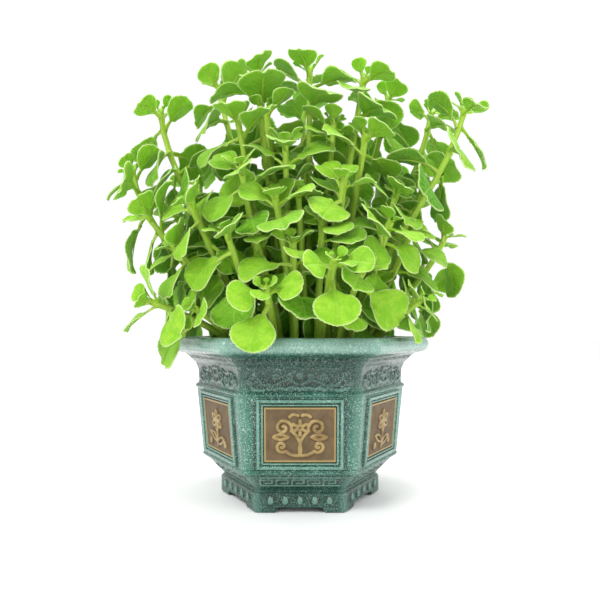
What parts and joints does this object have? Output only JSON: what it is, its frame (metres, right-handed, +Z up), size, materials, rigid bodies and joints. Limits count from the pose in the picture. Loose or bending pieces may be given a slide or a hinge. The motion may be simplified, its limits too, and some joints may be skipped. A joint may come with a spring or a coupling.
{
  "type": "potted herbs",
  "caption": "Bushy thick-leaved herb with many upright leafy shoots, growing from soil in a hexagonal glazed pot with a rolled rim, relief side plaques and corner feet.",
  "frame": {"origin": "on the surface the pot stands on, under the pot's axis", "axes": "+Z up; the pot's front side and its plaque face -Y; two of the pot's corners are on the X axis"},
  "size_m": [0.3023, 0.2203, 0.3598],
  "materials": {
    "green_glaze": "glossy speckled green glaze, pale at the rim",
    "bronze_plaque": "satin bronze-brown with gold-toned relief",
    "potting_soil": "matt, crumbly",
    "leaf": "soft, velvety, slightly translucent"
  },
  "bodies": {
    "root": {"plaque_1": "bronze_plaque", "plaque_2": "bronze_plaque", "plaque_3": "bronze_plaque", "plaque_4": "bronze_plaque", "plaque_5": "bronze_plaque", "plaque_6": "bronze_plaque", "pot": "green_glaze", "potting_soil": "potting_soil", "shoot_back_crown": "leaf", "shoot_back_inner_left": "leaf", "shoot_back_inner_right": "leaf", "shoot_back_left": "leaf", "shoot_back_left_low": "leaf", "shoot_back_low": "leaf", "shoot_back_middle": "leaf", "shoot_back_right": "leaf", "shoot_back_right_low": "leaf", "shoot_back_rim_left": "leaf", "shoot_back_rim_right": "leaf", "shoot_centre_bud": "leaf", "shoot_centre_front": "leaf", "shoot_centre_left": "leaf", "shoot_centre_right": "leaf", "shoot_crown_left": "leaf", "shoot_crown_right": "leaf", "shoot_front_bud": "leaf", "shoot_front_centre_low": "leaf", "shoot_front_left_low": "leaf", "shoot_front_left_middle": "leaf", "shoot_front_middle": "leaf", "shoot_front_right_low": "leaf", "shoot_front_right_middle": "leaf", "shoot_front_right_rim": "leaf", "shoot_front_right_tall": "leaf", "shoot_front_rim": "leaf", "shoot_left_corner": "leaf", "shoot_left_crown": "leaf", "shoot_left_front": "leaf", "shoot_left_front_low": "leaf", "shoot_left_inner": "leaf", "shoot_left_low": "leaf", "shoot_left_middle": "leaf", "shoot_left_outer": "leaf", "shoot_left_tall": "leaf", "shoot_right_crown": "leaf", "shoot_right_far": "leaf", "shoot_right_front": "leaf", "shoot_right_front_low": "leaf", "shoot_right_inner": "leaf", "shoot_right_low": "leaf", "shoot_right_middle": "leaf", "shoot_right_outer": "leaf", "shoot_right_side": "leaf", "shoot_right_upper": "leaf", "shoot_rim_left": "leaf", "shoot_rim_right": "leaf"}
  },
  "joints": []
}
